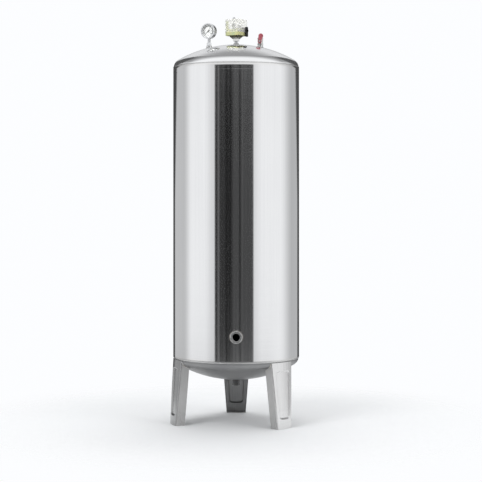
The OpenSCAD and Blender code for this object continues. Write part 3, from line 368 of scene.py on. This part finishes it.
def weld_metal():
    """The bare metal of a bead, with a little heat colour."""
    m, net, s = material("weld_metal", 1.0)
    patch = net.noise(60.0, detail=4)
    fine = net.noise(900.0, detail=3)
    hue = net.mix(net.ramp(patch, 0.45, 0.7), (0.62, 0.62, 0.62), (0.60, 0.54, 0.44))
    net.put(s["Base Color"], hue)
    net.put(s["Roughness"], net.ramp(fine, 0.3, 0.7, 0.28, 0.46))
    net.put(s["Normal"], net.bump(fine, 0.15, 0.0002))
    return m


def turned_steel(name, ring=False):
    """Machined sockets: lathe rings and scratches, and with ring, weld metal where one meets the shell, darkened as
    painted shade.
    """
    m, net, s = material(name, 1.0)
    lathe = net.noise(1.0, (40, 900, 900), detail=4)
    scratch = net.noise(420.0, (1, 0.08, 1), detail=5)
    tone = net.tone(lathe, 0.5, scratch)
    bare = net.mix(tone, (0.68, 0.68, 0.67), (0.84, 0.84, 0.83))
    gloss = net.ramp(tone, 0.0, 1.0, 0.20, 0.36)
    if ring:
        # Painted shade: a dark ring where the port meets the shell
        painted_shade_ring = net.ramp(net.radius(net.axes()), *PORT_SHADE_RING, 1.0, 0.0)
        bare = net.mix(painted_shade_ring, bare, net.mix(tone, (0.16, 0.15, 0.14), (0.28, 0.26, 0.24)))
        gloss = net.math("MULTIPLY_ADD", painted_shade_ring, 0.12, gloss)
    net.put(s["Base Color"], bare)
    net.put(s["Roughness"], gloss)
    net.put(s["Normal"], net.bump(lathe, 0.10, 0.0002))
    return m


def housing_metal():
    """The switch's inlet: a dark olive casting, darkened further as painted shade under the switch, above a plated
    hexagon, with a soft edge low on the cone.
    """
    m, net, s = material("housing_metal")
    height = net.axes()[2]
    # Painted shade: the top of the cone is painted dark olive, fading to the pale plated metal below
    shaded_casting = net.ramp(height, HEX_TOP + 0.0015, HEX_TOP + 0.0050)
    broad = net.noise(60.0, detail=4)
    fine = net.noise(600.0, detail=4)
    tone = net.tone(fine, 0.35, broad)
    shaded_olive = net.mix(tone, (0.085, 0.08, 0.045), (0.16, 0.15, 0.09))
    plated = net.mix(tone, (0.66, 0.67, 0.65), (0.80, 0.80, 0.78))
    net.put(s["Base Color"], net.mix(shaded_casting, plated, shaded_olive))
    net.put(s["Metallic"], net.blend(shaded_casting, 1.0, 0.35))
    net.put(s["Roughness"], net.math("MULTIPLY_ADD", shaded_casting, 0.22, net.ramp(tone, 0.0, 1.0, 0.24, 0.36)))
    net.put(s["Normal"], net.bump(net.math("MULTIPLY", fine, shaded_casting), 0.4, 0.0001))
    return m


def yellow_zinc():
    """Yellow passivated zinc: straw, green and a breath of pink in slow patches."""
    m, net, s = material("yellow_zinc", 0.7)
    slow = net.noise(60.0, detail=3)
    other = net.noise(38.0, detail=2, offset=(3, 1, 7))
    fine = net.noise(700.0, detail=4)
    straw = net.mix(net.ramp(slow, 0.35, 0.65), (0.78, 0.74, 0.36), (0.60, 0.68, 0.40))
    net.put(s["Base Color"], net.mix(net.ramp(other, 0.55, 0.75, 0.0, 0.6), straw, (0.78, 0.58, 0.46)))
    net.put(s["Roughness"], net.ramp(fine, 0.3, 0.7, 0.26, 0.42))
    net.put(s["Normal"], net.bump(fine, 0.08, 0.0001))
    return m


def milky_cover():
    """Milky moulded polycarbonate, through which the mechanism shows faintly."""
    m, net, s = material("milky_cover", 0.0, IOR=1.49)
    s["Transmission Weight"].default_value = 0.78
    cloud = net.noise(45.0, detail=3)
    fine = net.noise(900.0, detail=3)
    net.put(s["Base Color"], net.mix(net.ramp(cloud, 0.3, 0.7), (0.985, 0.985, 0.96), (1.0, 1.0, 0.985)))
    net.put(s["Roughness"], net.ramp(fine, 0.3, 0.7, 0.12, 0.18))
    net.put(s["Normal"], net.bump(cloud, 0.05, 0.0004))
    return m


def lens_glass():
    m, net, s = material("lens_glass", 0.0, IOR=1.5)
    s["Transmission Weight"].default_value = 1.0
    smear = net.noise(90.0, (1, 1, 3), detail=4)
    net.put(s["Base Color"], net.mix(smear, (0.97, 0.985, 0.98), (0.99, 0.995, 0.99)))
    net.put(s["Roughness"], net.ramp(smear, 0.45, 0.75, 0.0, 0.05))
    return m


def dress():
    """A procedural material for every CAD node."""
    steel = polished_steel()
    legs = pressed_steel()
    brass = surface("satin_brass", (0.62, 0.45, 0.19), (0.80, 0.62, 0.32), (0.22, 0.36), 1.0, 700, (1, 1, 6), 60)
    zinc = surface("zinc_plate", (0.52, 0.53, 0.54), (0.70, 0.70, 0.71), (0.26, 0.40), 1.0, 900, (1, 1, 1), 80)
    gauge = surface("gauge_steel", (0.80, 0.81, 0.82), (0.89, 0.9, 0.91), (0.28, 0.4), 1.0, 900, (1, 1, 0.1), 50, 0.08)
    # Painted shade: the drain socket and plug are near black to stand in for the shade under the tank
    drain = surface("drain_steel_painted_shade", (0.10, 0.10, 0.10), (0.18, 0.18, 0.18), (0.38, 0.52), 1.0, 900, (1, 1, 1), 60)
    spring = surface("spring_wire", (0.36, 0.36, 0.37), (0.56, 0.56, 0.57), (0.24, 0.36), 1.0, 1200, (1, 1, 1), 90)
    nickel = surface("nickel_plate", (0.74, 0.74, 0.72), (0.86, 0.86, 0.84), (0.32, 0.46), 1.0, 900, (1, 1, 1), 70)
    bronze = surface("contact_bronze", (0.60, 0.40, 0.24), (0.76, 0.53, 0.33), (0.22, 0.34), 1.0, 900, (1, 1, 1), 80)
    rubber = surface("black_rubber", (0.006,) * 3, (0.014,) * 3, (0.50, 0.66), 0.0, 1200, (1, 1, 1), 60, 0.3)
    phenolic = surface("phenolic", (0.02,) * 3, (0.045, 0.043, 0.042), (0.30, 0.46), 0.0, 1500, (1, 1, 1), 90)
    white = surface("plunger_plastic", (0.78, 0.78, 0.74), (0.88, 0.88, 0.85), (0.34, 0.48), 0.0, 1200)
    waxy = surface("seat_plastic", (0.84, 0.84, 0.84), (0.92, 0.92, 0.92), (0.30, 0.42), 0.0, 1200)
    dial = surface("dial_paint", (0.90, 0.90, 0.89), (0.95, 0.95, 0.945), (0.42, 0.52), 0.0, 1800, (1, 1, 1), 80, 0.08)
    black = surface("pointer_paint", (0.012, 0.012, 0.012), (0.03, 0.03, 0.03), (0.36, 0.48), 0.0, 1500)
    red = surface("red_vinyl", (0.42, 0.09, 0.12), (0.54, 0.15, 0.18), (0.26, 0.40), 0.0, 900, (1, 1, 1), 70, 0.15)
    plan = {
        steel: "cylinder_shell",
        domed_steel(): "top_head",
        lower_head_painted_shade(): "bottom_head",
        legs: "leg_left leg_right leg_rear",
        turned_steel("socket_steel"): "gauge_socket switch_socket valve_socket",
        drain: "drain_socket drain_plug",
        turned_steel("port_steel", ring=True): "front_port",
        gauge: "gauge_case gauge_bezel gauge_stem",
        lens_glass(): "gauge_lens",
        dial: "gauge_dial",
        black: "gauge_pointer",
        brass: "gauge_pinion gauge_bourdon_tube gauge_movement_frame gauge_sector switch_terminal_screws",
        zinc: "switch_nipple switch_housing_screws switch_pivot_pin switch_main_stud switch_main_nut "
        "switch_differential_stud switch_differential_nut switch_cover_nut valve_lever_nut",
        yellow_zinc(): "switch_base switch_rocker",
        housing_metal(): "switch_housing",
        rubber: "switch_diaphragm switch_grommet",
        white: "switch_plunger",
        spring: "switch_main_spring switch_differential_spring",
        phenolic: "switch_contact_block",
        bronze: "switch_fixed_contacts switch_moving_contacts",
        milky_cover(): "switch_cover",
        nickel: "valve_body valve_end_fitting valve_ball valve_stem valve_packing_nut",
        waxy: "valve_seats",
        red: "valve_lever",
    }
    for m, names in plan.items():
        for name in names.split():
            mesh = nodes[name].data
            mesh.materials.clear()
            mesh.materials.append(m)
    # Light falls straight through the two clear pieces
    for name in ("gauge_lens", "switch_cover"):
        nodes[name].visible_shadow = False
    return {"black": black, "weld": weld_metal()}


def piece(name, mesh, body):
    """A piece of Blender's own that rides a body."""
    obj = bpy.data.objects.new(name, mesh)
    scene.collection.objects.link(obj)
    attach(obj, body)
    return obj


def mesh_piece(name, verts, faces, mat, smooth=True):
    """A fixed piece from points and faces."""
    mesh = bpy.data.meshes.new(name)
    mesh.from_pydata([tuple(v) for v in verts], [], faces)
    mesh.validate()
    bm = bmesh.new()
    bm.from_mesh(mesh)
    bmesh.ops.recalc_face_normals(bm, faces=bm.faces)
    bm.to_mesh(mesh)
    bm.free()
    mesh.materials.append(mat)
    if smooth:
        mesh.polygons.foreach_set("use_smooth", [True] * len(mesh.polygons))
    return piece(name, mesh, "tank")


def resample(points, step):
    """The same line with its points step apart."""
    out, carry = [points[0]], 0.0
    for a, b in zip(points, points[1:]):
        length = (b - a).length
        at = step - carry
        while at < length:
            out.append(a.lerp(b, at / length))
            at += step
        carry = length - (at - step)
    out.append(points[-1])
    return out


def weld_bead(name, points, radius, mat):
    """A ripple-faced bead of weld metal along a line, thin at both ends."""
    sides, ripple_steps, end_steps = 10, 5, 4
    line = resample(points, 0.0021 / ripple_steps)
    verts, faces = [], []
    count = len(line)
    for i, p in enumerate(line):
        ahead = line[min(i + 1, count - 1)] - line[max(i - 1, 0)]
        ahead.normalize()
        side = ahead.orthogonal().normalized()
        if i:
            side = (last - ahead * last.dot(ahead)).normalized()
        last = side
        up = ahead.cross(side)
        end = min(1.0, (min(i, count - 1 - i) + 0.3) / end_steps)
        wave = 1 + 0.10 * abs(math.sin(math.pi * i / ripple_steps)) + 0.05 * math.sin(i * 0.37)
        r = radius * end**0.5 * wave
        for j in range(sides):
            t = 2 * math.pi * j / sides
            verts.append(p + side * (r * math.cos(t)) + up * (r * math.sin(t)))
    for i in range(count - 1):
        for j in range(sides):
            k = (j + 1) % sides
            faces.append((i * sides + j, i * sides + k, (i + 1) * sides + k, (i + 1) * sides + j))
    faces.append(tuple(range(sides - 1, -1, -1)))
    faces.append(tuple((count - 1) * sides + j for j in range(sides)))
    return mesh_piece(name, verts, faces, mat)


def head_radius_at(drop):
    """Outside radius of a head at a distance beyond its tangent line."""
    centre = HEAD_RADIUS - KNUCKLE
    crown_drop = math.sqrt((CROWN - KNUCKLE) ** 2 - centre**2)
    if drop <= KNUCKLE * crown_drop / (CROWN - KNUCKLE):
        return centre + math.sqrt(KNUCKLE**2 - drop**2)
    return math.sqrt(CROWN**2 - (drop + crown_drop) ** 2)


def turned(point, azimuth):
    """A point drawn at the front, turned towards the right by azimuth."""
    a = math.radians(azimuth)
    x, y, z = point
    return Vector((x * math.cos(a) - y * math.sin(a), x * math.sin(a) + y * math.cos(a), z))


def soft_spring(node):
    """A coil spring between the rocker and its nut, copied into a piece of its own in place of the CAD node."""
    source = nodes[node]
    mesh = source.data.copy()
    mesh.transform(source.matrix_world)
    obj = piece(node.replace("switch_", "soft_"), mesh, "tank")
    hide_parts(node)
    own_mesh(obj)


def leg_welds(mat):
    """Beads along both side walls of each leg, where they meet the lower head."""
    for leg, azimuth in LEG_AZIMUTHS.items():
        for side in (-1, 1):
            line = []
            for i in range(40):
                z = LEG_TOP - 0.002 - i * 0.001
                share = z / LEG_TOP
                half = (LEG_FOOT_WIDTH + (LEG_TOP_WIDTH - LEG_FOOT_WIDTH) * share) / 2
                outer = SHELL_RADIUS + LEG_SPLAY * (1 - share)
                r = head_radius_at(SHELL_BASE - z)
                y = math.sqrt(max(r * r - half * half, 0))
                if y < outer - LEG_DEPTH:
                    break
                line.append(turned((side * half, -y, z), azimuth))
            if len(line) > 3:
                weld_bead(f"leg_{leg}_weld_{'right' if side > 0 else 'left'}", line, 0.0015, mat)


def long_weld(mat):
    """The shell's one upright seam, ground low, behind the tank."""
    azimuth, half_width, rise = 152.0, 0.0022, 0.00022
    low, high, step = SHELL_BASE + 0.003, SHELL_TOP - 0.003, 0.0024
    count, across = int((high - low) / step), 6
    verts, faces = [], []
    for i in range(count + 1):
        z = low + (high - low) * i / count
        for j in range(across + 1):
            t = 2 * j / across - 1
            ripple = 1 + 0.15 * math.sin(i * 1.9) + 0.08 * math.sin(i * 0.31)
            r = SHELL_RADIUS - 0.00005 + rise * (1 - t * t) * ripple
            a = math.radians(azimuth) + t * half_width / SHELL_RADIUS
            verts.append((r * math.sin(a), -r * math.cos(a), z))
    w = across + 1
    for i in range(count):
        for j in range(across):
            faces.append((i * w + j, i * w + j + 1, (i + 1) * w + j + 1, (i + 1) * w + j))
    mesh_piece("shell_long_weld", verts, faces, mat)


def dial_marks(mat):
    """Scale arc, ticks and figures, printed just off the dial plate."""
    bezel_low, bezel_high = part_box("gauge_bezel")
    turn = math.radians(GAUGE_TURN)
    right = Vector((math.cos(turn), math.sin(turn), 0))
    out = Vector((math.sin(turn), -math.cos(turn), 0))
    up = Vector((0, 0, 1))
    face = Vector((GAUGE_X, 0, (bezel_low.z + bezel_high.z) / 2)) + out * MARKS_FORWARD
    verts, faces = [], []

    def scale_angle(share):
        """Angle at a share of the scale, from its zero."""
        return SCALE_START - SCALE_SWEEP * share

    def at(radius, degrees):
        t = math.radians(degrees)
        return face + right * (radius * math.cos(t)) + up * (radius * math.sin(t))

    def quad(points):
        n = len(verts)
        verts.extend(points)
        faces.append(tuple(range(n, n + 4)))

    inner, outer, steps = 0.0143, 0.0164, 108
    for i in range(steps):
        a, b = scale_angle(i / steps), scale_angle((i + 1) / steps)
        quad([at(inner, a), at(inner, b), at(outer, b), at(outer, a)])
    tick_start = 0.0161
    for i in range(SCALE_DIVISIONS + 1):
        major = i % 5 == 0
        width = (0.0013 if major else 0.0007) / 2
        length = 0.0036 if major else 0.0021
        t = math.radians(scale_angle(i / SCALE_DIVISIONS))
        ray = right * math.cos(t) + up * math.sin(t)
        across = right * -math.sin(t) + up * math.cos(t)
        a, b = face + ray * tick_start, face + ray * (tick_start + length)
        quad([a - across * width, a + across * width, b + across * width, b - across * width])
    mesh_piece("dial_scale", verts, faces, mat, smooth=False)

    bm = bmesh.new()
    for i in range(6):
        data = bpy.data.curves.new("figure", "FONT")
        data.body = str(2 * i)
        data.size = 0.0046
        data.offset = 0.00012
        data.align_x, data.align_y = "CENTER", "CENTER"
        data.resolution_u = 3
        obj = bpy.data.objects.new("figure", data)
        scene.collection.objects.link(obj)
        bpy.context.view_layer.update()
        mesh = bpy.data.meshes.new_from_object(obj.evaluated_get(bpy.context.evaluated_depsgraph_get()))
        spot = at(0.0112, scale_angle(i / 5))
        for v in mesh.vertices:
            v.co = spot + right * v.co.x + up * v.co.y
        bm.from_mesh(mesh)
        bpy.data.objects.remove(obj)
    joined = bpy.data.meshes.new("dial_figures")
    bm.to_mesh(joined)
    bm.free()
    joined.materials.clear()
    joined.materials.append(mat)
    piece("dial_figures", joined, "tank")


def bare_material(name):
    """A new material without nodes, and its net."""
    m = bpy.data.materials.new(name)
    m.use_nodes = True
    m.node_tree.nodes.clear()
    return m, Net(m.node_tree)


def stage_object(name, mesh, height):
    """A part of the studio, which belongs to no body."""
    obj = bpy.data.objects.new(name, mesh)
    obj.location = (0, 0, height)
    scene.collection.objects.link(obj)
    return obj


def floor():
    """A pale disc that takes the tank's shadow and fades into the background."""
    verts, faces = [(0, 0, 0)], []
    rings, around = (0.4, 0.8, 1.2, 1.8, 2.4, 3.0), 96
    for r in rings:
        for j in range(around):
            t = 2 * math.pi * j / around
            verts.append((r * math.cos(t), r * math.sin(t), 0))
    for j in range(around):
        faces.append((0, 1 + j, 1 + (j + 1) % around))
    for i in range(len(rings) - 1):
        for j in range(around):
            a, b = 1 + i * around, 1 + (i + 1) * around
            k = (j + 1) % around
            faces.append((a + j, b + j, b + k, a + k))
    mesh = bpy.data.meshes.new("floor")
    mesh.from_pydata(verts, [], faces)
    m, net = bare_material("pale_floor")
    away = net.ramp(net.radius(net.axes()), 0.40, 1.0)
    lit = net.add("ShaderNodeBsdfDiffuse")
    lit.inputs["Color"].default_value = (0.93, 0.945, 0.96, 1)
    clear = net.add("ShaderNodeBsdfTransparent")
    net.finish("ShaderNodeOutputMaterial", net.mix_shaders(away, lit.outputs[0], clear.outputs[0]))
    mesh.materials.append(m)
    stage_object("floor", mesh, -0.0002)


def scrims():
    """Grey scrims and black flags round the set, seen in polished metal only: the white world shows through them."""
    mesh = bpy.data.meshes.new("scrims")
    bm = bmesh.new()
    bmesh.ops.create_uvsphere(bm, u_segments=96, v_segments=48, radius=SCRIM_RADIUS)
    bm.to_mesh(mesh)
    bm.free()
    m, net = bare_material("scrims")
    ax = net.axes()
    degrees = 180 / math.pi
    # Directions from the tank: azimuth from the front, its size either way, elevation, and angle over the top
    azimuth = net.math("MULTIPLY", net.azimuth(ax), degrees)
    size = net.math("ABSOLUTE", azimuth)
    rise = net.math("MULTIPLY", net.math("ARCSINE", net.math("DIVIDE", ax[2], SCRIM_RADIUS)), degrees)
    over = net.math("MULTIPLY", net.math("ARCTAN2", ax[2], net.math("MULTIPLY", ax[1], -1.0)), degrees)
    # The black flag in front, hung in folds
    flag = net.window(azimuth, -38.7, 31.0, 1.2)
    black = net.ramp(azimuth, -9, -4, 0.036, 0.068)
    for low, high, soft, tone in FOLDS:
        black = net.blend(net.window(azimuth, low, high, soft), black, tone)
    # The grey scrims beside the set, and the black flags behind them, which lean forwards as they rise
    left = net.math("MULTIPLY", net.ramp(size, 40, 60, 0.78, 1.0), net.ramp(size, 86, 110, 1.0, 0.60))
    right = net.math("MULTIPLY", net.ramp(size, 32, 48, 0.84, 1.0), net.ramp(size, 84, 122, 1.0, 0.53))
    side = net.blend(net.ramp(azimuth, -5, 5), left, right)
    near_edge = net.math("ADD", size, net.ramp(rise, 0, 20, 0, 34, smooth=False))
    far_edge = net.math("ADD", size, net.ramp(rise, 0, 24, 0, 20, smooth=False))
    back = net.math("MULTIPLY", net.ramp(near_edge, 146, 153), net.ramp(far_edge, 174, 182, 1.0, 0.0))
    back = net.math("MULTIPLY", back, net.ramp(rise, 42, 56, 1.0, 0.0))
    # The ceiling: white in front, grey over the middle, pale behind
    roof = net.ramp(over, 62, 92, 1.0, 0.58)
    roof = net.blend(net.ramp(over, 90, 104), roof, 0.34)
    roof = net.blend(net.ramp(over, 127, 146), roof, 0.78)
    # The dark floor cloth beyond the pale floor
    cloth = net.blend(net.ramp(size, 40, 80), 0.24, 0.34)
    cloth = net.blend(net.window(azimuth, 70, 150, 15), cloth, 0.70)
    through = net.blend(net.ramp(rise, 12, 28), side, roof)
    through = net.blend(net.ramp(rise, -14, -8, 1.0, 0.0), through, cloth)
    through = net.blend(back, through, net.ramp(rise, 0, 20, 0.06, 0.10))
    through = net.blend(net.math("MULTIPLY", flag, net.window(rise, -11, 11.5, 1.5)), through, black)
    grey = net.add("ShaderNodeCombineColor")
    for socket in grey.inputs:
        net.put(socket, through)
    clear = net.add("ShaderNodeBsdfTransparent")
    net.put(clear.inputs["Color"], grey.outputs[0])
    net.finish("ShaderNodeOutputMaterial", clear.outputs[0])
    mesh.materials.append(m)
    obj = stage_object("scrims", mesh, 0.7)
    obj.visible_camera = False
    obj.visible_diffuse = False
    obj.visible_transmission = False
    obj.visible_shadow = False


def world():
    """White to the camera and to metal and glass, and a plain level of light for the rest."""
    w = bpy.data.worlds.new("studio")
    scene.world = w
    # Reflections find the world by their own rays only, so that no stray light passes the scrims
    w.cycles.sampling_method = "NONE"
    w.use_nodes = True
    w.node_tree.nodes.clear()
    net = Net(w.node_tree)
    path = net.add("ShaderNodeLightPath")
    seen = net.math("MAXIMUM", path.outputs["Is Camera Ray"], path.outputs["Is Glossy Ray"])
    seen = net.math("MAXIMUM", seen, path.outputs["Is Transmission Ray"])
    plain = net.add("ShaderNodeBackground")
    plain.inputs["Color"].default_value = (1, 1, 1, 1)
    plain.inputs["Strength"].default_value = 0.62
    white = net.add("ShaderNodeBackground")
    white.inputs["Color"].default_value = (0.975, 0.985, 1.0, 1)
    white.inputs["Strength"].default_value = 1.0
    net.finish("ShaderNodeOutputWorld", net.mix_shaders(seen, plain.outputs[0], white.outputs[0]))


def lamp(name, spot, aim, size, power):
    """A round area lamp that metal doesn't mirror."""
    data = bpy.data.lights.new(name, "AREA")
    data.shape = "DISK"
    data.size = size
    data.energy = power
    obj = bpy.data.objects.new(name, data)
    obj.location = spot
    obj.rotation_mode = "QUATERNION"
    obj.rotation_quaternion = (Vector(aim) - Vector(spot)).to_track_quat("-Z", "Y")
    obj.visible_glossy = False
    scene.collection.objects.link(obj)


make_camera()
mats = dress()
for spring_node, spring_top in SPRING_TOPS.items():
    soft_spring(spring_node)
leg_welds(mats["weld"])
long_weld(mats["weld"])
dial_marks(mats["black"])
floor()
scrims()
world()
lamp("key", (-2.4, -2.8, 3.4), (0, 0, 0.6), 2.2, 55)
lamp("fill", (3.0, -2.2, 2.0), (0, 0, 0.6), 2.6, 30)
lamp("top", (0.3, 1.2, 4.0), (0, 0, 0.4), 2.4, 40)
scene.view_settings.view_transform = "Standard"
